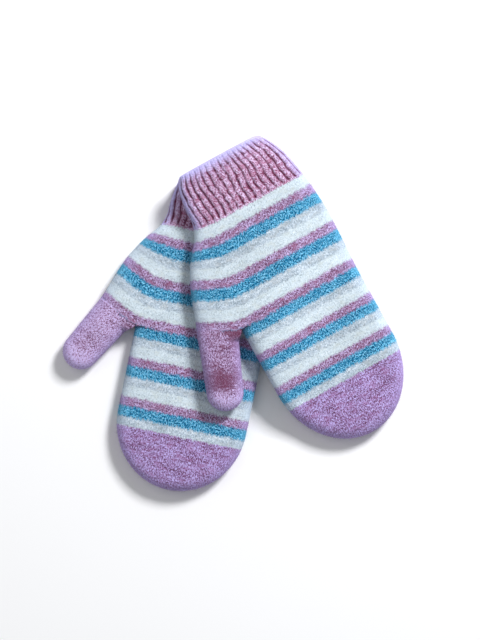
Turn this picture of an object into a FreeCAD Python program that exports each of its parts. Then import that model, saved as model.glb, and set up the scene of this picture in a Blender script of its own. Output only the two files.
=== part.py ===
"""A pair of striped, fulled wool mittens lying flat, one laid partly across the other.

Units are millimetres. +Z is up, the table is z = 0, and the origin is under the middle of the pair.
Each mitten is drawn in plan from its crotch, the corner between thumb and hand: `across` runs over the hand,
away from the thumb, and `down` runs from the crotch to the fingertips, so the cuff lies at negative distances.
The mittens are knitted in rounds, called courses. A run of courses in one yarn is one band: a flattened ring
of fabric, lofted between its first and last course, round the space that the hand goes into.
"""

import FreeCAD, Part
import math
import os
from FreeCAD import Rotation, Vector

os.makedirs("parts", exist_ok=True)

# Knitting
REPEAT = (("cream", 5), ("lilac", 4), ("teal", 5), ("grey", 4))  # yarn and its courses, from the cuff down
REPEATS = 5
COURSES = REPEATS * sum(courses for yarn, courses in REPEAT)
CROTCH_COURSE = COURSES // 2  # the thumb is set in halfway down the stripes
FOLD_COURSE = CROTCH_COURSE + 32  # the fingers bend here, at the top of the last lilac band
FAN = math.radians(27)  # the courses of the thumb gusset turn by this much
FAN_BEND = 3.0  # length of the bend where a course enters the gusset
GUSSET_RUN = 45.0  # the fan opens to its full turn over this distance from the wrist

# Fabric
THICK = 16.0  # a mitten lying flat, both layers and the space between them
WALL = 3.5  # one fulled layer
EDGE_RUN = 1.25  # the side folds round off over this many half thicknesses
EDGE_POWER = 2.5  # 2 would make the side folds elliptical, and more makes them squarer
BODY_GAP = 0.4  # between pieces that move separately
LAY_GAP = 0.5  # between the top mitten and the bottom one
PRESS = 0.3  # the bottom mitten's underside is drawn this much fuller, then trimmed flat at the table
TABLE_GAP = 0.2  # below the parts of the top mitten that reach down beside the bottom one

# Plan outline, as (down, across) points of a smooth edge
LITTLE_FINGER_EDGE = (
    (-134, 84.0), (-126, 90.5), (-113, 97.6), (-94, 102.5), (-76, 105.3), (-53, 107.6), (-30, 107.6), (0, 106.5),
    (40, 106.2), (80, 106.5),
)
THUMB_EDGE = (
    (-134, 19.0), (-122, 12.5), (-104, 9.0), (-90, 8.0), (-82, 4.4), (-71, -4.5), (-55, -14.6), (-38, -22.0),
    (-22, -27.6), (-12.7, -31.5), (-4, -35.0),
)
INDEX_FINGER_EDGE = 1.8  # the straight side of the hand below the crotch
HAND_RIGHT = 106.3
THUMB_INNER = Vector(-1.2, -0.5, 0)  # the ends of the thumb's first course, as across, down
THUMB_OUTER = Vector(-30.4, -15.4, 0)
THUMB_TAPER = 1.8  # how much narrower each side of the thumb gets before its round end

# Drape of the top mitten off the side of the bottom one, and off its cuff
DRAPE_FROM = 103.0  # across the bottom mitten
DRAPE_RUN = 55.0
DROOP_RUN = 100.0

# Loft
POINTS = 40  # round each course
BAND_SPAN = 12.0  # about how long each loft along a band is
TIP_SPANS = 7
SETTLE = 30  # repeats that bring the thumb's side of a course onto the outline
LAST_ROUND = 0.985  # where the last round of a tip is drawn closed, as a part of the tip's length

BOTTOM = {
    "name": "bottom", "crotch": Vector(-79.8, -9.3, 0), "turn": -11.8, "course": 1.77, "upper_course": 1.86,
    "cuff": 39.0, "fan_at_wrist": 0.0, "tip_start": 68.0, "tip_length": 55.5, "thumb_lean": 29.7,
    "thumb_length": 57.4, "lies_on": 0.0, "lands_on": 0.0,
}
TOP = {
    "name": "top", "crotch": Vector(5.4, -13.7, 0), "turn": 29.0, "course": 1.67, "upper_course": 1.86,
    "cuff": 46.0, "fan_at_wrist": 0.4, "tip_start": 60.0, "tip_length": 62.5, "thumb_lean": 21.8,
    "thumb_length": 63.4, "lies_on": THICK + LAY_GAP, "lands_on": TABLE_GAP,
}


def edge_curve(points):
    """A smooth plan edge whose parameter is the distance down the hand."""
    curve = Part.BSplineCurve()
    curve.interpolate(Points=[Vector(across, down, 0) for down, across in points],
                      Parameters=[float(down) for down, across in points])
    return curve


little_finger_edge = edge_curve(LITTLE_FINGER_EDGE)
thumb_edge = edge_curve(THUMB_EDGE)


def smooth_step(t):
    t = min(max(t, 0.0), 1.0)
    return t * t * (3 - 2 * t)


def to_row(mitten, across, down):
    """A plan point of the mitten, in the frame of the pair."""
    turn = Rotation(Vector(0, 0, 1), mitten["turn"])
    return mitten["crotch"] + turn.multVec(Vector(across, -down, 0))


def to_bottom_plan(point):
    """A point of the pair as (across, down) on the bottom mitten."""
    back = Rotation(Vector(0, 0, 1), -BOTTOM["turn"]).multVec(point - BOTTOM["crotch"])
    return back.x, -back.y


def mouth(mitten):
    """How far down the cuff's open end lies."""
    return wrist(mitten) - mitten["cuff"]


def course_down(mitten, course):
    """How far down the hand a course lies, counted from the crotch. Courses are a little taller above it."""
    return course * mitten["upper_course" if course < 0 else "course"]


def wrist(mitten):
    return course_down(mitten, -CROTCH_COURSE)


def underside(mitten, point):
    """Height of the surface that the mitten lies on, below a point."""
    across, down = to_bottom_plan(point)
    off_side = smooth_step((across - DRAPE_FROM) / DRAPE_RUN)
    off_cuff = smooth_step((mouth(BOTTOM) - down) / DROOP_RUN)
    still_on = (1 - off_side) * (1 - off_cuff)
    return mitten["lands_on"] + (mitten["lies_on"] - mitten["lands_on"]) * still_on


def half_height(from_edge, full):
    """Half the height of a flattened tube, full except where its side folds round off."""
    out = 1 - min(max(from_edge / (EDGE_RUN * full), 0.0), 1.0)
    return full * (1 - out ** EDGE_POWER) ** (1 / EDGE_POWER)


def closed_edge(points):
    curve = Part.BSplineCurve()
    curve.interpolate(Points=points, PeriodicFlag=True, Parameters=[float(i) for i in range(len(points) + 1)])
    return curve.toShape()


def course_edge(mitten, plan_point, half, inset, depth=None):
    """One course as a closed edge. `plan_point(t)` gives (across, down) for t from -1 to 1 along the course,
    `half` is half the course's length and `depth(t)` the distance from the outline where it isn't at the ends."""
    radius = THICK / 2 - inset
    fuller = 1 + PRESS / radius if mitten is BOTTOM and inset == 0 else 1
    points = []
    for i in range(POINTS):
        angle = 2 * math.pi * i / POINTS
        t = math.cos(angle)
        from_edge = depth(t) if depth else half * (1 - abs(t))
        side = math.copysign(1, math.sin(angle))
        height = 0.0 if i in (0, POINTS // 2) else side * half_height(from_edge, radius)
        if height < 0:
            height *= fuller
        point = to_row(mitten, *plan_point(t))
        points.append(point + Vector(0, 0, underside(mitten, point) + THICK / 2 + height))
    return closed_edge(points)


def fan_drop(mitten, down, across):
    """How far the gusset's fan lifts a course towards the cuff at this place across the hand."""
    enters = -max(down, wrist(mitten)) * math.tan(FAN / 2)
    bend = FAN_BEND * math.log1p(math.exp((enters - across) / FAN_BEND))
    opened = smooth_step((down - wrist(mitten)) / GUSSET_RUN)
    opened = mitten["fan_at_wrist"] * (1 - opened) + opened
    in_cuff = min(max((down - mouth(mitten)) / mitten["cuff"], 0.0), 1.0)
    return math.tan(FAN) * bend * opened * in_cuff


def upper_course(mitten, down, inset):
    """A course at or above the crotch, over the whole width of hand and gusset."""
    right = little_finger_edge.value(down).x - inset
    left = 0.0
    for _ in range(SETTLE):
        left = thumb_edge.value(down - fan_drop(mitten, down, left)).x
    left += inset
    middle, half = (left + right) / 2, (right - left) / 2

    def plan_point(t):
        across = middle + half * t
        return across, down - fan_drop(mitten, down, across)

    return course_edge(mitten, plan_point, half, inset)


def hand_course(mitten, down, inset):
    """A course below the crotch. Past the tip's start the sides close in along half an ellipse."""
    middle = (INDEX_FINGER_EDGE + HAND_RIGHT) / 2
    full = (HAND_RIGHT - INDEX_FINGER_EDGE) / 2 - inset
    length = mitten["tip_length"] - inset
    into_tip = max(down - mitten["tip_start"], 0.0) / length
    half = full * math.sqrt(1 - into_tip ** 2)

    def from_outline(t):
        out = max(math.hypot(t * half / full, into_tip), 1e-9)
        return (1 - out) * (full + (length - full) * (into_tip / out) ** 2)

    return course_edge(mitten, lambda t: (middle + half * t, down), half, inset, from_outline)


def thumb_course(mitten, part, inset):
    """A course of the thumb, `part` of the way from its root to its round end. It turns from the line of the
    gusset's last course to square across the thumb."""
    lean = math.radians(mitten["thumb_lean"])
    root = (THUMB_OUTER + THUMB_INNER) * 0.5
    root_half = (THUMB_OUTER - THUMB_INNER).Length / 2
    end_radius = root_half - THUMB_TAPER
    straight = mitten["thumb_length"] - end_radius
    reach = BODY_GAP + (mitten["thumb_length"] - inset - BODY_GAP) * part
    on_the_way = min(reach / straight, 1.0)
    into_end = max(reach - straight, 0.0) / (end_radius - inset)
    full = root_half - THUMB_TAPER * on_the_way - inset
    half = full * math.sqrt(1 - into_end ** 2)
    turn = FAN + (lean - FAN) * smooth_step(on_the_way)
    centre = root + Vector(-math.sin(lean), math.cos(lean), 0) * reach

    def from_outline(t):
        return (1 - math.hypot(t * half / full, into_end)) * full

    def plan_point(t):
        return centre.x + half * t * math.cos(turn), centre.y + half * t * math.sin(turn)

    return course_edge(mitten, plan_point, half, inset, from_outline)


def tube(outer, inner, closed=False):
    """A solid wall between two rows of courses, open at both ends or drawn closed at its last course."""
    faces = [Part.makeRuledSurface(a, b) for a, b in zip(outer, outer[1:])]
    faces += [Part.makeRuledSurface(a, b) for a, b in zip(inner, inner[1:])]
    faces.append(Part.makeRuledSurface(outer[0], inner[0]))
    if closed:
        faces += [Part.Face(Part.Wire(outer[-1])), Part.Face(Part.Wire(inner[-1]))]
    else:
        faces.append(Part.makeRuledSurface(outer[-1], inner[-1]))
    shell = Part.makeShell(faces)
    shell.sewShape()
    solid = Part.makeSolid(shell)
    if solid.Volume < 0:
        solid.reverse()
    return solid


def evenly(first, last, spans):
    return [first + (last - first) * i / spans for i in range(spans + 1)]


def rounding_off(first, last, spans):
    """Places that come closer together towards the last one."""
    return [first + (last - first) * math.sin(math.pi / 2 * i / spans) for i in range(spans + 1)]


def band(mitten, first, last):
    """A stripe, or a cuff, from one distance down the hand to another."""
    course = upper_course if last <= 0 else hand_course
    places = evenly(first, last, max(1, round((last - first) / BAND_SPAN)))
    return tube([course(mitten, down, 0) for down in places], [course(mitten, down, WALL) for down in places])


def fingertips(mitten, first):
    rows = []
    for inset in (0, WALL):
        last = mitten["tip_start"] + LAST_ROUND * (mitten["tip_length"] - inset)
        rows.append([hand_course(mitten, down, inset) for down in rounding_off(first, last, TIP_SPANS)])
    return tube(*rows, closed=True)


def thumb(mitten):
    rows = []
    for inset in (0, WALL):
        rows.append([thumb_course(mitten, part, inset) for part in rounding_off(0, LAST_ROUND, TIP_SPANS)])
    return tube(*rows, closed=True)


def trim_flat(shape):
    """The shape without what reaches below the table, which leaves it a flat face to rest on."""
    size = shape.BoundBox
    corner = Vector(size.XMin - 1, size.YMin - 1, -2 * PRESS)
    return shape.cut(Part.makeBox(size.XLength + 2, size.YLength + 2, 2 * PRESS, corner)).Solids[0]


def make_mitten(mitten):
    pieces = {"cuff": band(mitten, mouth(mitten), wrist(mitten))}
    course = -CROTCH_COURSE
    for repeat in range(1, REPEATS + 1):
        for yarn, courses in REPEAT:
            first, last = course_down(mitten, course), course_down(mitten, course + courses)
            if course == FOLD_COURSE - CROTCH_COURSE:
                first += BODY_GAP
            pieces[f"{yarn}_band_{repeat}"] = band(mitten, first, last)
            course += courses
    pieces["fingertips"] = fingertips(mitten, course_down(mitten, course))
    pieces["thumb"] = thumb(mitten)
    if mitten is BOTTOM:
        pieces = {piece: trim_flat(shape) for piece, shape in pieces.items()}
    return {f"{mitten['name']}_{piece}": shape for piece, shape in pieces.items()}


for mitten in (BOTTOM, TOP):
    for node, shape in make_mitten(mitten).items():
        shape.exportStep(f"parts/{node}.step")
        print(node, shape.isValid(), shape.isClosed(), round(shape.Volume), shape.BoundBox)
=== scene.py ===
import math

import bpy
import numpy as np
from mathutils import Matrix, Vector


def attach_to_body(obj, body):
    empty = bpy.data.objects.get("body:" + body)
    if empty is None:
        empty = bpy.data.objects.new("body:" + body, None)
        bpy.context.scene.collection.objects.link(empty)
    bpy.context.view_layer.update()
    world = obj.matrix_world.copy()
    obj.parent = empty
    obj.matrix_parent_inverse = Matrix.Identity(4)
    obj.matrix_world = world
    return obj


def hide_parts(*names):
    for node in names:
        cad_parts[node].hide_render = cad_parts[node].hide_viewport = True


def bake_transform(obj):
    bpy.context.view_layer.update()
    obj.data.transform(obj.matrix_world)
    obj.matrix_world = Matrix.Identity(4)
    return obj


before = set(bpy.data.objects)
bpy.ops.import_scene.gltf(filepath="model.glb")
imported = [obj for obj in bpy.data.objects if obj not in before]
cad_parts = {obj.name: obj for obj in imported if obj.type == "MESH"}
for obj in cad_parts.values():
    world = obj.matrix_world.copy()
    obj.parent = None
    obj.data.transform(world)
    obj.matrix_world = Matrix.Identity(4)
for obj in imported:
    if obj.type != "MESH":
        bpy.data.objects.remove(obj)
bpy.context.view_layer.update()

# A pair of striped, fulled wool mittens. Sizes are millimetres until a mesh is made.
MM = 0.001
SEED = 7

# Knitting. A course is one round of stitches, and a wale is one column of them.
REPEAT = (("cream", 5), ("lilac", 4), ("teal", 5), ("grey", 4))
REPEATS = 5
CROTCH_COURSE = REPEATS * sum(courses for yarn, courses in REPEAT) // 2
FOLD_COURSE = CROTCH_COURSE + 32
WALE = 2.62
STITCH_DEPTH = 0.3
RELIEF_LEVEL = 0.7
WALE_GROOVE = 0.9
MIDDLE_GROOVE = 0.3
LEG_SLANT = 1.7
LEG_WAVE = 0.38
FAN = math.radians(27)
FAN_BEND = 3.0
FAN_TRIES = 8
GUSSET_RUN = 45.0

# A yarn's ragged edge, in courses: its swing with each wale, and noises as (amount, changes to a wale)
INTERLOCK = 0.28
FINE_STRAY = (0.45, 2.6)
SLOW_STRAY = (0.15, 0.6)
ROW_APART = 3.7

# Ribbed cuff, with this many ribs on each face
RIBS = 18
RIB_DEPTH = 0.85
RIB_LEVEL = 0.75
RIB_ROUNDNESS = 0.65
RIB_COURSE = 1.9
RIB_LEG_DEPTH = 3.0 * STITCH_DEPTH
RIB_FADE = 9.0
RIB_FADE_AT_WRIST = 3.0
LEG_SHADE = 0.6
# How strong the painted sheen at the cuff's rim and side folds is
RIM_SHEEN = 1.3
FOLD_CLOSER = 1.5

# Unevenness of the ribs: their mean height, and noises as (amount, changes to a rib, length of a change)
RIB_MEAN = 0.85
RIB_LUMPS = (0.4, 1.0, 4.5)
RIB_BUMPS = (0.35, 2.1, 1.6)
RIB_WANDER = (0.11, 0.9, 3.2)
RIB_SWAY = (0.3, 0.23, 19.0)

# Fabric: flattened tubes that lie one on the other, with a low crown, slow swells and finer ripples on top
THICK = 16.0
WALL = 3.5
EDGE_RUN = 1.25
EDGE_POWER = 2.5
LAY_GAP = 0.5
TABLE_GAP = 0.2
OFF_TABLE = 0.02
CROWN = 0.9
CROWN_RUN = 26.0
SWELL = 0.7
SWELL_RUN = 9.0
SWELL_SPAN = (31.0, 27.0)
RIPPLE = 0.5
RIPPLE_SPAN = (13.0, 15.0)
# How deep in a groove the lining and the cuff's lip count, for their painted shade
LINING_GROOVE = 0.4
LIP_GROOVE = 0.1

# Plan outline, as (down, across) points of a smooth edge
LITTLE_FINGER_EDGE = (
    (-134, 84.0), (-126, 90.5), (-113, 97.6), (-94, 102.5), (-76, 105.3), (-53, 107.6), (-30, 107.6),
    (0, 106.5), (40, 106.2), (80, 106.5),
)
THUMB_EDGE = (
    (-134, 19.0), (-122, 12.5), (-104, 9.0), (-90, 8.0), (-82, 4.4), (-71, -4.5), (-55, -14.6),
    (-38, -22.0), (-22, -27.6), (-12.7, -31.5), (-4, -35.0),
)
INDEX_FINGER_EDGE = 1.8
HAND_RIGHT = 106.3
HAND_MIDDLE = (INDEX_FINGER_EDGE + HAND_RIGHT) / 2
THUMB_INNER = np.array((1.4, 0.3))
THUMB_OUTER = np.array((-30.4, -15.4))
THUMB_TAPER = 1.8
THUMB_START = -1.0
WEB = 1.4
WEB_LIFT = 16.0
WEB_RUN = 9.0

# Drape of the top mitten
DRAPE_FROM = 103.0
DRAPE_RUN = 55.0
DROOP_RUN = 100.0

# Painted light on the thumb: the place of its painted shade, as (share of its length, distance across it),
# and its spread; a lighter end, which is painted highlight; and painted shade beside the crotch
SHADE_PLACE = (0.62, -2.0)
SHADE_SPREAD = (0.11, 11.0)
HIGHLIGHT_END = 1.3
HIGHLIGHT_FROM = 0.72
HIGHLIGHT_RUN = 0.14
CROTCH_SIDE = 15.0
CROTCH_SPREAD = (15.0, 7.0)

# Mesh fineness. Column counts are (above, below), and the thumb's rows are (straight, round end).
ROWS_PER_COURSE = 4
HAND_COLUMNS = (280, 80)
THUMB_COLUMNS = (110, 50)
THUMB_ROWS = (92, 56)
THUMB_LINING_ROWS = (8, 10)
LIP_ROWS = 7
TIP_ROWS = 125
TIP_LINING_ROWS = 14
TIP_SETTLE = 6
LINING_STEP = 3

# How much of the relief there is underneath, how soon the painted sheen on the folds fades, and the distance
# at which a neighbouring yarn or the other mitten's pattern has nothing to do with a place
UNDER_SHARE = 0.5
SHEEN_FADE = 9.0
FAR = 50.0
PATTERN_APART = 40.0

# Nap: fibres to a square millimetre above, and the share of them that there is below
NAP_DENSITY = 1.7
NAP_UNDER = 0.15
FIBRE_LENGTH = (0.8, 2.3)
FIBRE_RADIUS = (0.028, 0.05)
FIBRE_ROOT = 0.12
FIBRE_RISE = (0.12, 1.1)
FIBRE_LYING = 1.5
FIBRE_OFF_TABLE = 0.03

# Bent fibres: their share, how much longer they are and how often, and the two stretches about the elbow
BENT_SHARE = 0.15
BENT_LONGER = (1.2, 2.1)
BENT_OFTEN = (0.8, 0.2)
TO_ELBOW = 0.55
PAST_ELBOW = 0.45
BENT_SPREAD = 0.45
ELBOW_THINNER = 0.8

# What differs between the two mittens: place and turn, the heights of a course above and below the crotch,
# the sizes of cuff, fingertips and thumb, what each lies on, how much painted shade its thumb's pad has, and
# how much lighter its whole thumb is
BOTTOM = {
    "name": "bottom", "seed": 1, "crotch": (-79.8, -9.3), "turn": math.radians(-11.8),
    "upper_course": 1.86, "course": 1.77, "cuff": 39.0, "fan_at_wrist": 0.0,
    "tip_start": 68.0, "tip_length": 55.5, "thumb_lean": math.radians(29.7), "thumb_length": 57.4,
    "lies_on": 0.0, "lands_on": 0.0, "worn": 0.5, "fresh": 0.8,
}
TOP = {
    "name": "top", "seed": 2, "crotch": (5.4, -13.7), "turn": math.radians(29.0),
    "upper_course": 1.86, "course": 1.67, "cuff": 46.0, "fan_at_wrist": 0.4,
    "tip_start": 60.0, "tip_length": 62.5, "thumb_lean": math.radians(21.8), "thumb_length": 63.4,
    "lies_on": THICK + LAY_GAP, "lands_on": TABLE_GAP, "worn": 1.4, "fresh": 0.0,
}


# ---------------------------------------------------------------- plan

def smooth_curve(points):
    """A function through the (x, y) points: a cubic between each two, with its neighbours' slope at each."""
    x, y = np.array(points, float).T
    slope = np.gradient(y, x)

    def at(value):
        value = np.clip(value, x[0], x[-1])
        i = np.clip(np.searchsorted(x, value) - 1, 0, len(x) - 2)
        span = x[i + 1] - x[i]
        t = (value - x[i]) / span
        return ((2 * t ** 3 - 3 * t ** 2 + 1) * y[i] + (t ** 3 - 2 * t ** 2 + t) * span * slope[i]
                + (3 * t ** 2 - 2 * t ** 3) * y[i + 1] + (t ** 3 - t ** 2) * span * slope[i + 1])

    return at


little_finger_edge = smooth_curve(LITTLE_FINGER_EDGE)
thumb_edge = smooth_curve(THUMB_EDGE)


def unit(vectors):
    """Vectors of length one, each divided by its length."""
    return vectors / np.maximum(np.linalg.norm(vectors, axis=-1, keepdims=True), 1e-9)


def smooth_step(t):
    """From 0 at 0 to 1 at 1, level at both ends: three squares less two cubes."""
    t = np.clip(t, 0.0, 1.0)
    return t * t * (3 - 2 * t)


def course_down(mitten, course):
    """How far down the hand a course lies, counted from the crotch. Those above it are a little taller."""
    return course * mitten["upper_course" if course < 0 else "course"]


def wrist(mitten):
    """Where the cuff meets the first stripe, down the hand from the crotch."""
    return course_down(mitten, -CROTCH_COURSE)


def mouth(mitten):
    """Where the cuff's open rim is."""
    return wrist(mitten) - mitten["cuff"]


def to_pair(mitten, across, down):
    """Plan points of a mitten in the frame of the pair: turned about the crotch, with down along -Y."""
    c, s = math.cos(mitten["turn"]), math.sin(mitten["turn"])
    return mitten["crotch"][0] + c * across + s * down, mitten["crotch"][1] + s * across - c * down


def underside(mitten, x, y):
    """Height of what the mitten lies on: level on the bottom mitten, then a smooth step down to the table
    beyond its little finger side, and beyond its cuff."""
    c, s = math.cos(BOTTOM["turn"]), math.sin(BOTTOM["turn"])
    dx, dy = x - BOTTOM["crotch"][0], y - BOTTOM["crotch"][1]
    across, down = c * dx + s * dy, s * dx - c * dy
    off_side = smooth_step((across - DRAPE_FROM) / DRAPE_RUN)
    off_cuff = smooth_step((mouth(BOTTOM) - down) / DROOP_RUN)
    still_on = (1 - off_side) * (1 - off_cuff)
    return mitten["lands_on"] + (mitten["lies_on"] - mitten["lands_on"]) * still_on


def half_height(from_edge, full):
    """Half the height of a flattened tube: full, but a superellipse down to nothing at its side folds."""
    out = 1 - np.clip(from_edge / (EDGE_RUN * full), 0.0, 1.0)
    return full * (1 - out ** EDGE_POWER) ** (1 / EDGE_POWER)


def lattice_noise(x, y, seed):
    """Smooth noise from -1 to 1: random numbers on a unit lattice, blended between by smooth steps. It
    repeats after as many units as the table is wide."""
    wide = 64
    table = np.random.default_rng(seed).uniform(-1, 1, (wide, wide))
    i, j = np.floor(x).astype(int), np.floor(y).astype(int)
    a, b = smooth_step(x - i), smooth_step(y - j)
    low = table[i % wide, j % wide] * (1 - a) + table[(i + 1) % wide, j % wide] * a
    high = table[i % wide, (j + 1) % wide] * (1 - a) + table[(i + 1) % wide, (j + 1) % wide] * a
    return low * (1 - b) + high * b


def unevenness(layer, across, down, seed):
    """One layer of lattice noise, given as (amount, changes to a unit across, length of a change down)."""
    amount, pace, length = layer
    return amount * lattice_noise(across * pace, down / length, seed)


def fan_drop(mitten, down, across):
    """How far the thumb gusset's fan lifts a course towards the cuff: nothing on the hand, and past the
    bend a slope of the fan's angle. A soft plus joins the two. It fades out up the cuff."""
    enters = -np.maximum(down, wrist(mitten)) * math.tan(FAN / 2)
    bend = FAN_BEND * np.logaddexp(0, (enters - across) / FAN_BEND)
    opened = smooth_step((down - wrist(mitten)) / GUSSET_RUN)
    opened = mitten["fan_at_wrist"] * (1 - opened) + opened
    in_cuff = np.clip((down - mouth(mitten)) / mitten["cuff"], 0.0, 1.0)
    return math.tan(FAN) * bend * opened * in_cuff


# ---------------------------------------------------------------- courses

def round_angles(columns):
    """Angles round a course: over the top from the little finger's side, then back underneath."""
    top, under = columns
    return np.concatenate([np.linspace(0, math.pi, top, endpoint=False),
                           np.linspace(math.pi, 2 * math.pi, under, endpoint=False)])


def upper_plan(mitten, down, angle, inset):
    """(across, down, from_edge) of courses at or above the crotch: a cosine of the angle, stretched
    between the outline's two sides, and lifted by the fan. The thumb's side is where the lifted course
    meets the outline, found by trying again from the last answer."""
    right = little_finger_edge(down) - inset
    left = np.zeros_like(down)
    for _ in range(FAN_TRIES):
        left = thumb_edge(down - fan_drop(mitten, down, left))
    left = left + inset
    middle, half = (left + right) / 2, (right - left) / 2
    across = middle + half * np.cos(angle)
    return across, down - fan_drop(mitten, down, across), half * (1 - np.abs(np.cos(angle)))


def hand_plan(mitten, down, angle, inset):
    """(across, down, from_edge) of courses below the crotch, which close in along an ellipse at the end."""
    full = (HAND_RIGHT - INDEX_FINGER_EDGE) / 2 - inset
    length = mitten["tip_length"] - inset
    into_tip = np.clip((down - mitten["tip_start"]) / length, 0.0, 1.0)
    half = full * np.sqrt(1 - into_tip ** 2)
    t = np.cos(angle)
    out = np.maximum(np.hypot(t * half / full, into_tip), 1e-9)
    from_edge = (1 - out) * (full + (length - full) * (into_tip / out) ** 2)
    return HAND_MIDDLE + half * t, down, from_edge


def thumb_plan(mitten, reach, angle, inset):
    """(across, down, from_edge) of the thumb's courses, `reach` along it from its root: square across the
    thumb, a little narrower towards the end, and closing in along a half circle. The web beside the hand
    stays as thick as the hand at the root, and thins out within its run."""
    lean = mitten["thumb_lean"]
    root = (THUMB_OUTER + THUMB_INNER) / 2
    root_half = np.linalg.norm(THUMB_OUTER - THUMB_INNER) / 2
    end_radius = root_half - THUMB_TAPER - WEB
    straight = mitten["thumb_length"] - end_radius
    on_the_way = np.clip(reach / straight, 0.0, 1.0)
    into_end = np.clip((reach - straight) / (end_radius - inset), 0.0, 1.0)
    web = WEB * smooth_step(reach / WEB_RUN)
    full = root_half - THUMB_TAPER * on_the_way - web - inset
    half = full * np.sqrt(1 - into_end ** 2)
    turn = FAN + (lean - FAN) * smooth_step(on_the_way)
    t = np.cos(angle)
    from_edge = (1 - np.hypot(t * half / full, into_end)) * full
    from_edge = from_edge + WEB_LIFT * (1 - smooth_step(reach / WEB_RUN)) * smooth_step(t)
    along_x, along_y = -math.sin(lean), math.cos(lean)
    centre_x = root[0] + along_x * reach - web * math.cos(lean)
    centre_y = root[1] + along_y * reach - web * math.sin(lean)
    return centre_x + half * t * np.cos(turn), centre_y + half * t * np.sin(turn), from_edge


def lay(mitten, plan, down, angle, inset):
    """Points of a wall `inset` deep: the plan, lifted to half the thickness over what the mitten lies on,
    plus or minus the half height, with a low crown and a slow swell on the upper side."""
    across, along, from_edge = plan(mitten, down, angle, inset)
    x, y = to_pair(mitten, across, along)
    above = np.sin(angle) >= 0
    z = underside(mitten, x, y) + THICK / 2
    z = z + np.where(above, 1, -1) * half_height(from_edge, THICK / 2 - inset)
    swell = lattice_noise(x / SWELL_SPAN[0], y / SWELL_SPAN[1], SEED + mitten["seed"])
    swell = swell + RIPPLE * lattice_noise(x / RIPPLE_SPAN[0], y / RIPPLE_SPAN[1], SEED + 5)
    rise = smooth_step(from_edge / CROWN_RUN) * CROWN + smooth_step(from_edge / SWELL_RUN) * SWELL * swell
    return np.stack([x, y, z + np.where(above, rise, 0.0)], -1), across, from_edge


# ---------------------------------------------------------------- stitches

def stitch_relief(wale, course):
    """Height of stocking stitch, from 0 to 1. Each wale is two rounded columns of legs, less a high power
    of the way out for the deep groove between wales, and less one of the way in for the shallow groove
    down its middle. The legs are slanted cosine waves that rise outwards."""
    x = np.abs(wale - np.floor(wale) - 0.5)
    column = 1 - WALE_GROOVE * (2 * x) ** 5 - MIDDLE_GROOVE * (1 - 2 * x) ** 4
    leg = 0.5 - 0.5 * np.cos(2 * math.pi * (course - LEG_SLANT * x))
    return column * (1 - LEG_WAVE + LEG_WAVE * leg)


def rib_relief(rib):
    """Height of the cuff's ribs, from 0 to 1: broad rounded ribs with narrow grooves between."""
    x = np.abs(rib - np.floor(rib) - 0.5) * 2
    return (0.5 + 0.5 * np.cos(math.pi * x)) ** RIB_ROUNDNESS


def girth(points):
    """Distance round each course from its first column, for a grid of points, and the whole way round."""
    step = np.linalg.norm(np.roll(points, -1, axis=1) - points, axis=2)
    run = np.cumsum(step, axis=1)
    return np.concatenate([np.zeros_like(run[:, :1]), run[:, :-1]], axis=1), run[:, -1:]


def wales_round(fabric, points, across, down):
    """(wale, place) of each point. Place is the distance round its course from the crotch's line, and a
    wale is that over one wale's width. On the thumb it is counted from the thumb's middle. On the gusset,
    wales fan out from the increase line, square to the turned courses."""
    run, whole = girth(points)
    on_thumb = fabric.plan is thumb_plan
    middle = (across.min(1) + across.max(1))[:, None] / 2 if on_thumb else HAND_MIDDLE
    out_of_reach = np.where(fabric.above, 0.0, 1000.0)
    start = np.argmin(np.abs(across - middle) + out_of_reach, axis=1)[:, None]
    away = run - np.take_along_axis(run, start, 1)
    away = np.where(away > whole / 2, away - whole, away)
    place = np.take_along_axis(across, start, 1) - (middle if on_thumb else 0) - away
    if fabric.plan is not upper_plan:
        return place / WALE, place
    spread = -np.maximum(down, wrist(fabric.mitten)) * math.tan(FAN / 2)
    return (place - np.where((place < spread) & fabric.above, 2 * spread, 0.0)) / WALE, place


def outward(points):
    """Unit normals of a grid closed round its second direction: the cross product of its two tangents."""
    round_way = np.roll(points, -1, axis=1) - np.roll(points, 1, axis=1)
    down_way = np.gradient(points, axis=0)
    return unit(np.cross(round_way, down_way))


def interlock(mitten, wale, course):
    """How far a yarn's edge strays from its course, in courses: up and down with each wale, as the new
    yarn's stitches hang from the old one's, and a little at random."""
    x = np.abs(wale - np.floor(wale) - 0.5) * 2
    row = np.full_like(wale, course * ROW_APART)
    fine = lattice_noise(wale * FINE_STRAY[1], row, SEED + 11 * mitten["seed"])
    slow = lattice_noise(wale * SLOW_STRAY[1], row, SEED + 12)
    return INTERLOCK * (x - 0.5) + FINE_STRAY[0] * fine + SLOW_STRAY[0] * slow


# ---------------------------------------------------------------- meshes

def filled_mesh(name, points, corners, starts):
    """A mesh from vertices in millimetres, the vertex at each corner, and the first corner of each face."""
    mesh = bpy.data.meshes.new(name)
    mesh.vertices.add(len(points))
    mesh.vertices.foreach_set("co", (points * MM).astype(np.float32).ravel())
    mesh.loops.add(len(corners))
    mesh.loops.foreach_set("vertex_index", corners.astype(np.int32))
    mesh.polygons.add(len(starts))
    mesh.polygons.foreach_set("loop_start", starts.astype(np.int32))
    mesh.update(calc_edges=True)
    return mesh


def placed(name, mesh, material):
    """The mesh's object, in the scene and with its material."""
    mesh.materials.append(material)
    piece = bpy.data.objects.new(name, mesh)
    bpy.context.scene.collection.objects.link(piece)
    return piece


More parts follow.
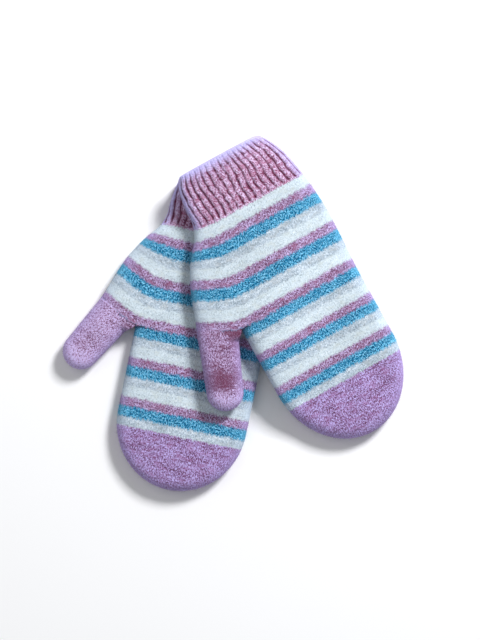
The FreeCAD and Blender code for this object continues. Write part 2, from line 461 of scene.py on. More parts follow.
def knit_mesh(name, grids, caps, attributes, material):
    """One piece of knitting. `grids` are (vertex numbers, flat rows) pairs: (rows, columns) arrays closed
    round their columns, whose faces are smooth but for the walls that follow the flat rows. `caps` are
    (ring, pole, turn) closed with a fan, and `attributes` hold every vertex's place in the knitting."""
    points, values = attributes
    faces, flat = [], []
    for grid, flat_rows in grids:
        over = np.roll(grid, -1, axis=1)
        faces.append(np.stack([grid[:-1], over[:-1], over[1:], grid[1:]], -1).reshape(-1, 4))
        steps = len(grid) - 1
        is_flat = np.isin(np.arange(steps), np.array(flat_rows) % steps)
        flat.append(np.repeat(is_flat, grid.shape[1]))
    quads = np.concatenate(faces)
    fans = [np.zeros((0, 3), int)]
    for ring, pole, turn in caps:
        fans.append(np.stack([ring, np.roll(ring, -1), np.full_like(ring, pole)], -1)[:, ::turn])
    triangles = np.concatenate(fans)
    totals = np.concatenate([np.full(len(quads), 4), np.full(len(triangles), 3)])
    starts = np.cumsum(totals) - totals
    mesh = filled_mesh(name, points, np.concatenate([quads.ravel(), triangles.ravel()]), starts)
    sharp = mesh.attributes.new("sharp_face", "BOOLEAN", "FACE")
    sharp.data.foreach_set("value", np.concatenate([*flat, np.zeros(len(triangles), bool)]))
    for label, value in values.items():
        wide = value.shape[1] == 3
        place = mesh.attributes.new(label, "FLOAT_VECTOR" if wide else "FLOAT", "POINT")
        place.data.foreach_set("vector" if wide else "value", value.astype(np.float32).ravel())
    return placed(name, mesh, material)


class Fabric:
    """One piece of knitting as vertices in rows of courses: the outer face, then the lining."""

    def __init__(self, mitten, plan, columns=HAND_COLUMNS):
        self.mitten, self.plan = mitten, plan
        self.course = mitten["upper_course" if plan is upper_plan else "course"]
        self.angle = round_angles(columns)
        self.above = np.sin(self.angle) >= 0
        self.points, self.values, self.count = [], {}, 0

    def add(self, points, wale, place, down, groove, edge=0.0, stain=0.0, before=FAR, after=FAR):
        """Numbers of new vertices, with their place in the knitting, how deep in a groove they are, which
        sets painted shade, how near a side fold or rim, which sets a painted sheen, how much painted shade or
        highlight the thumb has there, and how far from the yarns before and after."""
        shape = points.shape[:2]
        seed = np.full(shape, PATTERN_APART * self.mitten["seed"])
        given = (wale, place, down, groove, edge, stain, before, after)
        spread = [np.broadcast_to(value, shape) for value in given]
        wale, place, down, groove, edge, stain, before, after = spread
        self.points.append(points.reshape(-1, 3))
        for label, value in (("stitch", np.stack([wale, down / self.course, seed], -1)),
                             ("yarn", np.stack([place, down, seed], -1)),
                             ("border", np.stack([before, after, seed], -1)),
                             ("groove", groove), ("edge", edge), ("stain", stain)):
            self.values.setdefault(label, []).append(value.reshape(shape[0] * shape[1], -1))
        numbers = self.count + np.arange(shape[0] * shape[1]).reshape(shape)
        self.count += numbers.size
        return numbers

    def add_pole(self, down, inset):
        """A vertex at the middle of the closed end, with the lining's painted groove shade and full painted
        sheen.
        """
        ring, _, _ = lay(self.mitten, self.plan, np.full((1, 1), down), self.angle, inset)
        return int(self.add(ring.mean(1, keepdims=True), 0.0, 0.0, down, LINING_GROOVE, 1.0)[0, 0])

    def arrays(self):
        """All points, and all values by their attribute's name."""
        return np.concatenate(self.points), {label: np.concatenate(v) for label, v in self.values.items()}


def knit_rows(fabric, down):
    """The outer face of plain knitting at the given distances, raised by the stitches' relief along the
    surface's own normals: points, wales, places, grooves, and the nearness to a side fold, which falls
    off exponentially and sets the painted sheen there."""
    flat, across, from_edge = lay(fabric.mitten, fabric.plan, down, fabric.angle, 0.0)
    wale, place = wales_round(fabric, flat, across, down)
    relief = stitch_relief(wale, down / fabric.course)
    depth = STITCH_DEPTH * np.where(fabric.above, 1.0, UNDER_SHARE)
    raised = flat + outward(flat) * (depth * (relief - RELIEF_LEVEL))[..., None]
    raised[..., 2] = np.maximum(raised[..., 2], OFF_TABLE)
    return raised, wale, place, 1 - relief, np.exp(-from_edge / SHEEN_FADE)


def yarn_edge(fabric, down):
    """Distances down the hand along the ragged edge between two yarns, column by column."""
    row = np.full((1, len(fabric.angle)), float(down))
    flat, across, _ = lay(fabric.mitten, fabric.plan, row, fabric.angle, 0.0)
    wale, _ = wales_round(fabric, flat, across, row)
    return row + fabric.course * interlock(fabric.mitten, wale, down / fabric.course)


def add_lining(fabric, down, wale, place):
    """Rows of the inner face, on the wales of the outer face's first row."""
    lining, _, _ = lay(fabric.mitten, fabric.plan, down, fabric.angle, WALL)
    return fabric.add(lining, wale[:1], place[:1], down, LINING_GROOVE)


def knit_band(mitten, name, first, last, material):
    """A stripe of plain knitting as a closed ring of fabric: its outer face between two ragged edges, and
    its lining. No other stripe is before the one at the wrist."""
    fabric = Fabric(mitten, upper_plan if last <= 0 else hand_plan)
    rows = round((last - first) / fabric.course) * ROWS_PER_COURSE + 1
    share = np.linspace(0, 1, rows)[:, None]
    down = yarn_edge(fabric, first) * (1 - share) + yarn_edge(fabric, last) * share
    raised, wale, place, groove, edge = knit_rows(fabric, down)
    before = FAR if first == wrist(mitten) else share * (last - first)
    outer = fabric.add(raised, wale, place, down, groove, edge, 0.0, before, (1 - share) * (last - first))
    inner = add_lining(fabric, down[[-1, 0]], wale, place)
    grid = np.vstack([outer, inner, outer[:1]]), (rows - 1, -1)
    return knit_mesh(name, [grid], [], fabric.arrays(), material), raised, fabric


def closed_piece(fabric, name, down, inner_down, end, material, stain=None):
    """Knitting closed at its end, outside and inside. The fingertips have a stripe before them."""
    raised, wale, place, groove, edge = knit_rows(fabric, down)
    # Painted shade and highlight, on the thumb only
    painted_here = stain(place, down) if stain else 0.0
    before = down - down[0] if fabric.plan is hand_plan else FAR
    outer = fabric.add(raised, wale, place, down, groove, edge, painted_here, before)
    inner = add_lining(fabric, inner_down, wale, place)
    caps = [(outer[-1], fabric.add_pole(end, 0.0), 1), (inner[-1], fabric.add_pole(end - WALL, WALL), -1)]
    grids = [(outer, ()), (np.vstack([inner[::-1], outer[:1]]), (-1,))]
    return knit_mesh(name, grids, caps, fabric.arrays(), material), raised, fabric


def fingertips_piece(mitten, name, first, material):
    """The round end of the hand. Its courses come closer together as the sine of an even sweep, and lose
    the first one's ragged edge by a power of what is left of the sweep."""
    fabric = Fabric(mitten, hand_plan)
    start, stray = mitten["tip_start"], yarn_edge(fabric, first) - first
    rows = []
    for length, count in ((mitten["tip_length"], TIP_ROWS), (mitten["tip_length"] - WALL, TIP_LINING_ROWS)):
        first_angle = math.asin((first - start) / length)
        sweep = np.linspace(first_angle, math.pi / 2, count, endpoint=False)[:, None]
        left = np.linspace(1, 0, count)[:, None]
        rows.append(start + length * np.sin(sweep) + stray * left ** TIP_SETTLE)
    return closed_piece(fabric, name, rows[0], rows[1], start + mitten["tip_length"], material)


def thumb_piece(mitten, name, material):
    """The thumb: rounds from just inside its root, closing along a half circle."""
    fabric = Fabric(mitten, thumb_plan, THUMB_COLUMNS)
    radius = np.linalg.norm(THUMB_OUTER - THUMB_INNER) / 2 - THUMB_TAPER - WEB
    straight = mitten["thumb_length"] - radius
    rows = []
    for round_end, (steps, count) in ((radius, THUMB_ROWS), (radius - WALL, THUMB_LINING_ROWS)):
        sweep = np.linspace(0, math.pi / 2, count, endpoint=False)
        reach = np.concatenate([np.linspace(THUMB_START, straight, steps, endpoint=False),
                                straight + round_end * np.sin(sweep)])
        rows.append(np.broadcast_to(reach[:, None], (len(reach), len(fabric.angle))))

    def stain(place, reach):
        """Painted shade on the pad and beside the crotch, each a bell curve, less the mitten's lightening of
        the whole thumb and, towards the end, a painted highlight.
        """
        part = reach / mitten["thumb_length"]
        along, across = (part - SHADE_PLACE[0]) / SHADE_SPREAD[0], (place - SHADE_PLACE[1]) / SHADE_SPREAD[1]
        worn = mitten["worn"] * np.exp(-along ** 2 - across ** 2)
        fresh = mitten["fresh"] + HIGHLIGHT_END * smooth_step((part - HIGHLIGHT_FROM) / HIGHLIGHT_RUN)
        beside_crotch = -(reach / CROTCH_SPREAD[0]) ** 2 - ((place - CROTCH_SIDE) / CROTCH_SPREAD[1]) ** 2
        return worn - fresh + np.exp(beside_crotch)

    return closed_piece(fabric, name, rows[0], rows[1], mitten["thumb_length"], material, stain)


def cuff_piece(mitten, name, material):
    """The ribbed cuff. Ribs divide the way round evenly, stray a little, and fade out at the cast-on edge
    and at the wrist. The open end is a round lip between the outer face and the lining."""
    fabric = Fabric(mitten, upper_plan)
    top, bottom, lip = mouth(mitten), wrist(mitten), WALL / 2
    last = yarn_edge(fabric, bottom)

    def ribbed(down, inset):
        """One face of the ribbing: points, ribs, places, grooves, and the nearness to a side fold or to
        the rim, which sets the painted sheen. The ribs' relief is uneven and fades at both ends, and the
        legs' relief is added. Grooves, which get painted shade, are the ribs' own and, fainter, those between
        the legs, which fade less."""
        flat, _, from_edge = lay(mitten, upper_plan, down, fabric.angle, inset)
        run, whole = girth(flat)
        rib = 2 * RIBS * run / whole
        seed = SEED + 20 * mitten["seed"]
        down = np.broadcast_to(down, rib.shape)
        rib = rib + (unevenness(RIB_WANDER, rib, down, seed) + unevenness(RIB_SWAY, rib, down, seed + 1))
        fade = smooth_step((down - top) / RIB_FADE) * smooth_step((bottom - down) / RIB_FADE_AT_WRIST)
        uneven = RIB_MEAN + unevenness(RIB_LUMPS, rib + 0.5, down, seed + 2)
        uneven = uneven + unevenness(RIB_BUMPS, rib, down, seed + 3)
        relief = rib_relief(rib)
        legs = stitch_relief(rib, down / RIB_COURSE)
        height = RIB_DEPTH * uneven * fade * (relief - RIB_LEVEL) + RIB_LEG_DEPTH * (legs - RELIEF_LEVEL)
        height = height * np.where(fabric.above, 1.0, UNDER_SHARE)
        raised = flat + outward(flat) * height[..., None]
        raised[..., 2] = np.maximum(raised[..., 2], OFF_TABLE)
        # Painted sheen: a paler, bluer colour near the rim and the side folds
        edge = RIM_SHEEN * np.exp(-np.minimum(FOLD_CLOSER * from_edge, down - top) / SHEEN_FADE)
        # Painted shade in the ribs' grooves and between the legs, on top of the real relief
        between_legs = LEG_SHADE * (1 - legs) ** 1.5 * (0.3 + 0.7 * fade)
        groove = (1 - relief) * fade * uneven + between_legs
        return raised, rib, run, groove, edge

    share = np.linspace(0, 1, round((bottom - top) / RIB_COURSE * ROWS_PER_COURSE))[:, None]
    down = (top + lip) * (1 - share) + last * share
    raised, rib, place, groove, edge = ribbed(down, 0.0)
    outer = fabric.add(raised, rib, place, down, groove, edge, 0.0, FAR, last - down)
    inner_down = down[::-LINING_STEP]
    lining, inner_rib, inner_place, inner_groove, inner_edge = ribbed(inner_down, WALL)
    inner = fabric.add(lining, inner_rib, inner_place, inner_down, inner_groove, inner_edge)
    lips = []
    for turn in np.linspace(0, math.pi, LIP_ROWS + 2)[1:-1]:
        row = np.full((1, len(fabric.angle)), top + lip - lip * math.sin(turn))
        ring, _, _ = lay(mitten, upper_plan, row, fabric.angle, lip * (1 + math.cos(turn)))
        # The lip gets full painted sheen and a little painted groove shade
        lips.append(fabric.add(ring, rib[:1], place[:1], row, LIP_GROOVE, 1.0))
    grid = np.vstack([outer, inner, *lips, outer[:1]]), (len(outer) - 1,)
    return knit_mesh(name, [grid], [], fabric.arrays(), material), raised, fabric


# ---------------------------------------------------------------- nap

def sample_fibres(raised, fabric, rng):
    """Roots and surface normals of fibres: cells of the outer face drawn by area, each at a random place
    in its cell. There are fewer below, where the mitten is pressed."""
    normal = outward(raised)
    over = np.roll(raised, -1, axis=1)
    area = np.linalg.norm(np.cross(over[:-1] - raised[:-1], raised[1:] - raised[:-1]), axis=2)
    expected = area * np.where(fabric.above, NAP_DENSITY, NAP_DENSITY * NAP_UNDER)
    count = rng.poisson(expected)
    row, column = np.nonzero(count)
    times = count[row, column]
    row, column = np.repeat(row, times), np.repeat(column, times)
    beside = (column + 1) % raised.shape[1]
    u, v = rng.random((2, len(row), 1))
    root = (raised[row, column] * (1 - u) * (1 - v) + raised[row, beside] * u * (1 - v)
            + raised[row + 1, column] * (1 - u) * v + raised[row + 1, beside] * u * v)
    return root, normal[row, column]


def fibre_mesh(name, root, normal, material, rng):
    """Three-sided fibres that taper to a point. They lie over at random, from nearly flat to half
    upright. Most are short and straight, and the rest have an elbow, some of them long strays."""
    count = len(root)
    aside = unit(np.cross(normal, rng.normal(size=(count, 3))))
    way = unit(aside + normal * rng.uniform(*FIBRE_RISE, (count, 1)) ** FIBRE_LYING)
    first = unit(np.cross(way, rng.normal(size=(count, 3))))
    second = np.cross(way, first)
    length = rng.uniform(*FIBRE_LENGTH, (count, 1))
    radius = rng.uniform(*FIBRE_RADIUS, (count, 1))
    base = root - normal * FIBRE_ROOT
    shade = rng.random(count)
    curved = rng.random(count) < BENT_SHARE

    def ring(centre, size, chosen):
        """Three corners about a centre, square to the fibre's way."""
        corners = []
        for turn in (0, 2 * math.pi / 3, 4 * math.pi / 3):
            out = first[chosen] * math.cos(turn) + second[chosen] * math.sin(turn)
            corners.append(centre + size[chosen] * out)
        return corners

    short = ~curved
    tip = base[short] + way[short] * length[short]
    spikes = np.stack([*ring(base[short], radius, short), tip], 1)
    reach = length[curved] * rng.choice(BENT_LONGER, (curved.sum(), 1), p=BENT_OFTEN)
    elbow = base[curved] + way[curved] * reach * TO_ELBOW
    onward = unit(way[curved] + rng.normal(scale=BENT_SPREAD, size=(curved.sum(), 3)))
    end = elbow + onward * reach * PAST_ELBOW
    low, high = ring(base[curved], radius, curved), ring(elbow, radius * ELBOW_THINNER, curved)
    bent = np.stack([*low, *high, end], 1)
    spike_faces = np.array([(0, 2, 1), (0, 1, 3), (1, 2, 3), (2, 0, 3)])
    bent_faces = np.array([(0, 2, 1), (0, 1, 4), (0, 4, 3), (1, 2, 5), (1, 5, 4), (2, 0, 3), (2, 3, 5),
                           (3, 4, 6), (4, 5, 6), (5, 3, 6)])
    spike_size, bent_size = spikes.shape[1], bent.shape[1]
    spike_first = spike_size * np.arange(len(spikes))[:, None, None]
    bent_first = bent_size * np.arange(len(bent))[:, None, None] + spike_size * len(spikes)
    faces = [(spike_faces + spike_first).reshape(-1, 3), (bent_faces + bent_first).reshape(-1, 3)]
    faces = np.concatenate(faces)
    points = np.concatenate([spikes.reshape(-1, 3), bent.reshape(-1, 3)])
    points[:, 2] = np.maximum(points[:, 2], FIBRE_OFF_TABLE)
    mesh = filled_mesh(name, points, faces.ravel(), np.arange(0, faces.size, 3))
    mesh.shade_smooth()
    shades = np.concatenate([np.repeat(shade[short], spike_size), np.repeat(shade[curved], bent_size)])
    place = mesh.attributes.new("shade", "FLOAT", "POINT")
    place.data.foreach_set("value", shades.astype(np.float32))
    return placed(name, mesh, material)


# ---------------------------------------------------------------- materials

def srgb(red, green, blue):
    """A linear colour from 0 to 255 display values."""
    values = [v / 255 for v in (red, green, blue)]
    return (*[v / 12.92 if v <= 0.04045 else ((v + 0.055) / 1.055) ** 2.4 for v in values], 1.0)


class Shading:
    """Adds nodes to a tree and links them."""

    def __init__(self, tree):
        self.tree = tree

    def node(self, kind, *inputs, out=0, **settings):
        made = self.tree.nodes.new(kind)
        for key, value in settings.items():
            setattr(made, key, value)
        for socket, value in zip(made.inputs, inputs):
            if isinstance(value, bpy.types.NodeSocket):
                self.tree.links.new(value, socket)
            elif value is not None:
                socket.default_value = value
        return made.outputs[out]

    def math(self, operation, *inputs):
        return self.node("ShaderNodeMath", *inputs, operation=operation)

    def noise(self, place, lump, offset, detail=2.0):
        """Noise whose lumps are about as wide and as tall as given, in the units of the place."""
        width, height = lump
        moved = self.node("ShaderNodeVectorMath", place, (1 / width, 1 / height, 1), offset,
                          operation="MULTIPLY_ADD")
        return self.node("ShaderNodeTexNoise", moved, None, 1.0, detail, 0.55)

    def shifted(self, value, noise, amount):
        """The value, plus the amount times how far a noise is above its middle."""
        return self.math("MULTIPLY_ADD", self.math("SUBTRACT", noise, 0.5), amount, value)

    def between(self, value, low, high):
        """From 0 below the low value to 1 above the high one, by a smooth step."""
        return self.node("ShaderNodeMapRange", value, low, high, 0.0, 1.0, interpolation_type="SMOOTHSTEP")

    def mix(self, share, first, second):
        """The first colour, with a share of the second."""
        made = self.tree.nodes.new("ShaderNodeMix")
        made.data_type = "RGBA"
        for index, value in ((0, share), (6, first), (7, second)):
            if isinstance(value, bpy.types.NodeSocket):
                self.tree.links.new(value, made.inputs[index])
            else:
                made.inputs[index].default_value = value
        return made.outputs[2]


def heather_group():
    """Heather wool: dark, middle and light yarn blended by cloudy patches along the courses, by every leg
    of every stitch and by fine specks, darker where the thumb has painted shade and lighter where it has a
    painted highlight, with a tint in other patches, more of it in the thumb's painted shade, and a paler,
    bluer painted sheen on the folds and rim. Near a border, stray noise lets the neighbouring yarn's colour
    through, and the grooves are darker in broken lines, which is painted shade. Also the height of its
    fibres."""
    tree = bpy.data.node_groups.new("heather_wool", "ShaderNodeTree")
    taken = {
        "Vector": ("Stitch", "Yarn", "Border"),
        "Float": ("Groove", "Edge", "Stain", "Tint Share", "Groove Share", "Edge Share", "Patchy",
                  "Speckled"),
        "Color": ("Dark", "Middle", "Light", "Tint", "Groove Colour", "Edge Colour", "Before", "After"),
    }
    for kind, label in ((kind, label) for kind, labels in taken.items() for label in labels):
        tree.interface.new_socket(label, in_out="INPUT", socket_type="NodeSocket" + kind)
    for label, kind in (("Color", "Color"), ("Height", "Float")):
        tree.interface.new_socket(label, in_out="OUTPUT", socket_type="NodeSocket" + kind)
    s = Shading(tree)
    given = tree.nodes.new("NodeGroupInput").outputs
    parts = s.node("ShaderNodeSeparateXYZ", given["Stitch"]).node.outputs
    aside = s.math("ABSOLUTE", s.math("SUBTRACT", s.math("FRACT", parts[0]), 0.5))
    along = s.math("SUBTRACT", parts[1], s.math("MULTIPLY", aside, LEG_SLANT))
    side = s.math("FLOOR", s.math("MULTIPLY", parts[0], 2.0))
    leg = s.node("ShaderNodeCombineXYZ", side, s.math("FLOOR", along), parts[2])
    leg_shade = s.node("ShaderNodeTexWhiteNoise", leg)
    yarn = given["Yarn"]
    clouds = s.noise(yarn, (15, 6.5), (3, 1, 0))
    wisps = s.noise(yarn, (2.4, 2.6), (7, 5, 2))
    flecks = s.noise(yarn, (0.9, 1.6), (4, 3, 7))
    specks = s.noise(yarn, (0.55, 0.9), (0, 9, 4), 1.0)
    motes = s.noise(yarn, (0.5, 0.6), (5, 0, 6), 1.0)
    across_leg, along_leg = s.math("MULTIPLY", parts[0], 5.0), s.math("MULTIPLY", along, 2.4)
    strands = s.node("ShaderNodeCombineXYZ", across_leg, along_leg, parts[2])
    fibre = s.node("ShaderNodeTexNoise", strands, None, 1.0, 3.0, 0.6)
    blend = s.shifted(0.5, clouds, s.math("MULTIPLY", given["Patchy"], 1.4))
    # The thumb's painted shade darkens the blend and its painted highlight lightens it
    blend = s.math("MULTIPLY_ADD", given["Stain"], -0.3, blend)
    for source, share, amount in ((wisps, "Patchy", 1.1), (leg_shade, "Speckled", 0.12),
                                  (flecks, "Speckled", 4.2), (specks, "Speckled", 2.6),
                                  (motes, "Speckled", 1.3), (fibre, "Speckled", 0.5)):
        blend = s.shifted(blend, source, s.math("MULTIPLY", given[share], amount))
    colour = s.mix(s.between(blend, 0.05, 0.58), given["Dark"], given["Middle"])
    colour = s.mix(s.between(blend, 0.55, 1.1), colour, given["Light"])
    # Tint patches, with more tint where the thumb has painted shade
    tint_and_shade = s.noise(yarn, (7.5, 3.6), (1, 6, 8), 3.0)
    tint_and_shade = s.math("MULTIPLY_ADD", given["Stain"], 0.3, tint_and_shade)
    tint_and_shade = s.shifted(tint_and_shade, specks, 0.35)
    tinted = s.math("MULTIPLY", s.between(tint_and_shade, 0.47, 0.7), given["Tint Share"])
    colour = s.mix(tinted, colour, given["Tint"])
    # Painted sheen: the folds and rim are mixed towards a paler, bluer colour
    sheen_mask = s.shifted(given["Edge"], specks, 1.2)
    painted_sheen = s.math("MULTIPLY", s.between(sheen_mask, 0.15, 1.15), given["Edge Share"])
    colour = s.mix(painted_sheen, colour, given["Edge Colour"])
    strays = s.noise(yarn, (0.7, 1.9), (2, 7, 1), 1.0)
    ends = s.node("ShaderNodeSeparateXYZ", given["Border"]).node.outputs
    for end, label in ((ends[0], "Before"), (ends[1], "After")):
        crossing = s.between(s.math("MULTIPLY_ADD", end, -0.13, strays), 0.42, 0.56)
        colour = s.mix(s.math("MULTIPLY", crossing, 0.8), colour, given[label])
    # Painted shade: grooves are mixed towards a darker colour in broken lines
    depth = s.math("POWER", s.math("MAXIMUM", given["Groove"], 0.0), 1.3)
    breaks = s.between(s.math("MULTIPLY_ADD", given["Groove"], 0.5, flecks), 0.4, 0.95)
    groove_shade = s.math("MULTIPLY", s.math("MULTIPLY", depth, breaks), given["Groove Share"])
    colour = s.mix(groove_shade, colour, given["Groove Colour"])
    result = tree.nodes.new("NodeGroupOutput")
    tree.links.new(colour, result.inputs["Color"])
    height = s.math("MULTIPLY_ADD", fibre, 0.7, s.math("MULTIPLY", motes, 0.5))
    height = s.math("MULTIPLY_ADD", specks, 0.8, height)
    tree.links.new(height, result.inputs["Height"])
    return tree


def wool(name, group, **choices):
    """Wool material: the heather group on the knitting's own coordinates, matt, with a soft sheen."""
    material = bpy.data.materials.new(name)
    material.use_nodes = True
    tree = material.node_tree
    shader = tree.nodes["Principled BSDF"]
    shader.inputs["Specular IOR Level"].default_value = 0.06
    shader.inputs["Sheen Weight"].default_value = 0.03
    shader.inputs["Sheen Roughness"].default_value = 0.6
    shader.inputs["Sheen Tint"].default_value = (0.9, 0.94, 1.0, 1.0)
    s = Shading(tree)
    used = tree.nodes.new("ShaderNodeGroup")
    used.node_tree = group
    for label, out in (("Stitch", 1), ("Yarn", 1), ("Border", 1), ("Groove", 2), ("Edge", 2), ("Stain", 2)):
        place = s.node("ShaderNodeAttribute", out=out, attribute_name=label.lower())
        tree.links.new(place, used.inputs[label])
    for label, value in choices.items():
        used.inputs[label.replace("_", " ")].default_value = value
    tree.links.new(used.outputs["Color"], shader.inputs["Base Color"])
    tree.links.new(s.math("MULTIPLY_ADD", used.outputs["Height"], -0.12, 1.0), shader.inputs["Roughness"])
    bump = tree.nodes.new("ShaderNodeBump")
    bump.inputs["Strength"].default_value = 0.6
    bump.inputs["Distance"].default_value = 0.0004
    tree.links.new(used.outputs["Height"], bump.inputs["Height"])
    tree.links.new(bump.outputs["Normal"], shader.inputs["Normal"])
    return material


def nap(name, dark, light):
    """Material of loose fibres: each fibre is somewhere between two colours."""
    material = bpy.data.materials.new(name)
    material.use_nodes = True
    tree = material.node_tree
    shader = tree.nodes["Principled BSDF"]
    shader.inputs["Roughness"].default_value = 0.75
    shader.inputs["Specular IOR Level"].default_value = 0.15
    shader.inputs["Sheen Weight"].default_value = 0.1
    s = Shading(tree)
    shade = s.node("ShaderNodeAttribute", out=2, attribute_name="shade")
    tree.links.new(s.mix(shade, dark, light), shader.inputs["Base Color"])
    return material


group = heather_group()
LILAC = {
    "Dark": srgb(96, 54, 82), "Middle": srgb(170, 138, 176), "Light": srgb(218, 200, 242),
    "Tint": srgb(150, 90, 122), "Tint_Share": 0.7,
    "Groove_Colour": srgb(98, 52, 82), "Groove_Share": 0.5,
    "Edge_Colour": srgb(190, 174, 232), "Edge_Share": 0.6,
    "Before": srgb(214, 224, 230), "After": srgb(64, 158, 198),
    "Patchy": 0.8, "Speckled": 1.2,
}
LILAC_RIB = LILAC | {
    "Dark": srgb(130, 72, 98), "Middle": srgb(208, 168, 204), "Light": srgb(236, 216, 246),
    "Tint": srgb(172, 104, 132),
    "Groove_Colour": srgb(108, 44, 72), "Groove_Share": 0.85,
    "Edge_Colour": srgb(194, 194, 246), "Edge_Share": 0.8,
    "After": srgb(214, 224, 230),
}
# The fingertips' lilac is bluer and lighter than the stripes': partly the yarn's own colour, partly painted
# highlight
LILAC_TIPS = LILAC | {
    "Middle": srgb(178, 146, 202), "Light": srgb(210, 196, 250),
    "Tint": srgb(160, 106, 152), "Tint_Share": 0.5,
    "Before": srgb(198, 212, 220), "Speckled": 1.0,
}
# The thumb's dark tint shows in random patches and, more strongly, in its painted shade
LILAC_THUMB = LILAC | {
    "Middle": srgb(184, 148, 186),
    "Tint": srgb(114, 56, 80), "Tint_Share": 0.75,
    "Edge_Share": 0.5, "Speckled": 1.0,
}
TEAL = {
    "Dark": srgb(0, 62, 98), "Middle": srgb(30, 158, 204), "Light": srgb(146, 216, 246),
    "Tint": srgb(20, 108, 150), "Tint_Share": 0.45,
    "Groove_Colour": srgb(8, 78, 110), "Groove_Share": 0.5,
    "Edge_Colour": srgb(112, 192, 228), "Edge_Share": 0.5,
    "Before": srgb(164, 134, 172), "After": srgb(198, 212, 220),
    "Patchy": 0.7, "Speckled": 1.5,
}
GREY = {
    "Dark": srgb(140, 154, 164), "Middle": srgb(192, 206, 218), "Light": srgb(234, 242, 248),
    "Tint": srgb(180, 182, 180), "Tint_Share": 0.5,
    "Groove_Colour": srgb(130, 136, 140), "Groove_Share": 0.4,
    "Edge_Colour": srgb(188, 206, 230), "Edge_Share": 0.5,
    "Before": srgb(64, 158, 198), "After": srgb(214, 226, 232),
    "Patchy": 0.8, "Speckled": 0.6,
}
CREAM = {
    "Dark": srgb(168, 180, 186), "Middle": srgb(212, 225, 232), "Light": srgb(240, 246, 250),
    "Tint": srgb(204, 210, 204), "Tint_Share": 0.5,
    "Groove_Colour": srgb(160, 162, 156), "Groove_Share": 0.35,
    "Edge_Colour": srgb(194, 211, 234), "Edge_Share": 0.5,
    "Before": srgb(198, 212, 220), "After": srgb(164, 134, 172),
    "Patchy": 0.5, "Speckled": 0.45,
}
KNITS = {
    "lilac_rib": wool("lilac_rib", group, **LILAC_RIB),
    "lilac_wool": wool("lilac_wool", group, **LILAC),
    "lilac_tips": wool("lilac_tips", group, **LILAC_TIPS),
    "lilac_thumb": wool("lilac_thumb", group, **LILAC_THUMB),
    "teal_wool": wool("teal_wool", group, **TEAL),
    "grey_wool": wool("grey_wool", group, **GREY),
    "cream_wool": wool("cream_wool", group, **CREAM),
}
NAPS = {
    "lilac_rib": nap("lilac_rib_nap", srgb(158, 104, 140), srgb(218, 202, 238)),
    "lilac_wool": nap("lilac_nap", srgb(132, 90, 130), srgb(208, 190, 236)),
    "teal_wool": nap("teal_nap", srgb(4, 108, 158), srgb(128, 206, 238)),
    "grey_wool": nap("grey_nap", srgb(166, 180, 190), srgb(234, 242, 248)),
    "cream_wool": nap("cream_nap", srgb(196, 208, 214), srgb(242, 248, 252)),
}


# ---------------------------------------------------------------- the pair


def attach(piece, mitten, part):
    """Moves a piece with its mitten's hand; any other piece keeps its place, baked into its mesh."""
    hand = mitten["name"] + "_hand"
    if part == "hand":
        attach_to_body(piece, hand)
    else:
        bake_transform(piece)


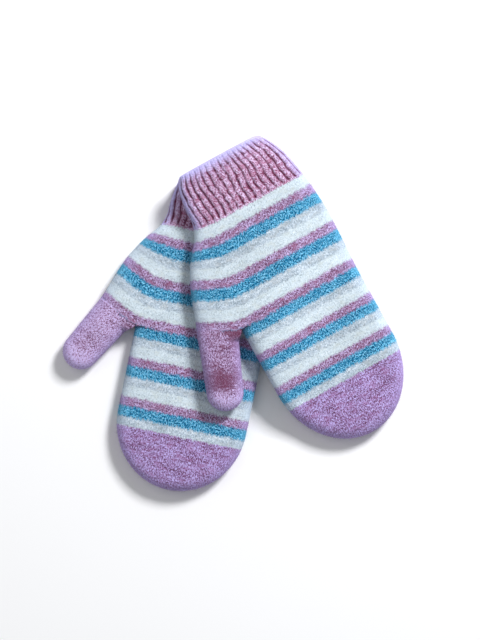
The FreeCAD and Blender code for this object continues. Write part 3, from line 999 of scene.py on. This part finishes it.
def make_mitten(mitten):
    """Every band of one mitten, its cuff, fingertips and thumb, and the nap of each yarn."""
    rng = np.random.default_rng(SEED + mitten["seed"])
    roots = {}

    def keep(made, node, part, slot):
        piece, raised, fabric = made
        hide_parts(node)
        attach(piece, mitten, part)
        roots.setdefault((part, slot), []).append(sample_fibres(raised, fabric, rng))

    name = mitten["name"]
    cuff = cuff_piece(mitten, f"{name}_cuff_knit", KNITS["lilac_rib"])
    keep(cuff, f"{name}_cuff", "hand", "lilac_rib")
    course = -CROTCH_COURSE
    for repeat in range(1, REPEATS + 1):
        for yarn, courses in REPEAT:
            node = f"{name}_{yarn}_band_{repeat}"
            first, last = course_down(mitten, course), course_down(mitten, course + courses)
            part = "hand" if course + CROTCH_COURSE < FOLD_COURSE else "fingers"
            slot = f"{yarn}_wool"
            keep(knit_band(mitten, f"{node}_knit", first, last, KNITS[slot]), node, part, slot)
            course += courses
    first = course_down(mitten, course)
    tips = fingertips_piece(mitten, f"{name}_fingertips_knit", first, KNITS["lilac_tips"])
    keep(tips, f"{name}_fingertips", "fingers", "lilac_wool")
    thumb = thumb_piece(mitten, f"{name}_thumb_knit", KNITS["lilac_thumb"])
    keep(thumb, f"{name}_thumb", "thumb", "lilac_wool")
    for (part, slot), samples in roots.items():
        root, normal = (np.concatenate(values) for values in zip(*samples))
        fibres = fibre_mesh(f"{name}_{part}_{slot}_nap", root, normal, NAPS[slot], rng)
        attach(fibres, mitten, part)


for mitten in (BOTTOM, TOP):
    make_mitten(mitten)


# ---------------------------------------------------------------- floor, light and camera

FLOOR_HALF = 3.0
FLOOR_DROP = 0.0002

paper = bpy.data.materials.new("floor_paper")
paper.use_nodes = True
paper_inputs = paper.node_tree.nodes["Principled BSDF"].inputs
paper_inputs["Base Color"].default_value = (0.97, 0.95, 0.93, 1.0)
paper_inputs["Roughness"].default_value = 0.9
paper_inputs["Specular IOR Level"].default_value = 0.1

floor_mesh = bpy.data.meshes.new("floor")
corner_signs = ((-1, -1), (1, -1), (1, 1), (-1, 1))
floor_corners = [(FLOOR_HALF * x, FLOOR_HALF * y, -FLOOR_DROP) for x, y in corner_signs]
floor_mesh.from_pydata(floor_corners, [], [(0, 1, 2, 3)])
floor = placed("floor", floor_mesh, paper)

world = bpy.data.worlds.new("studio")
world.use_nodes = True
world.node_tree.nodes["Background"].inputs["Color"].default_value = (0.90, 0.95, 1.0, 1.0)
world.node_tree.nodes["Background"].inputs["Strength"].default_value = 0.36
bpy.context.scene.world = world


def soft_light(name, place, size, power, colour):
    """A square soft box that faces the pair."""
    light = bpy.data.lights.new(name, "AREA")
    light.size, light.energy, light.color = size, power, colour
    lamp = bpy.data.objects.new(name, light)
    lamp.location = place
    lamp.rotation_euler = (-Vector(place)).to_track_quat("-Z", "Y").to_euler()
    bpy.context.scene.collection.objects.link(lamp)


soft_light("key", (1.1, 1.4, 1.5), 0.55, 67.0, (0.94, 0.96, 1.0))
soft_light("fill", (-0.7, 0.6, 1.5), 0.9, 2.5, (1.0, 0.97, 0.94))

camera_data = bpy.data.cameras.new("camera")
camera_data.sensor_width = 36.0
camera_data.lens = 98.4
camera = bpy.data.objects.new("camera", camera_data)
camera.location = (0.0056, -0.0052, 1.412)
bpy.context.scene.collection.objects.link(camera)
bpy.context.scene.camera = camera
bpy.context.scene.view_settings.view_transform = "Standard"
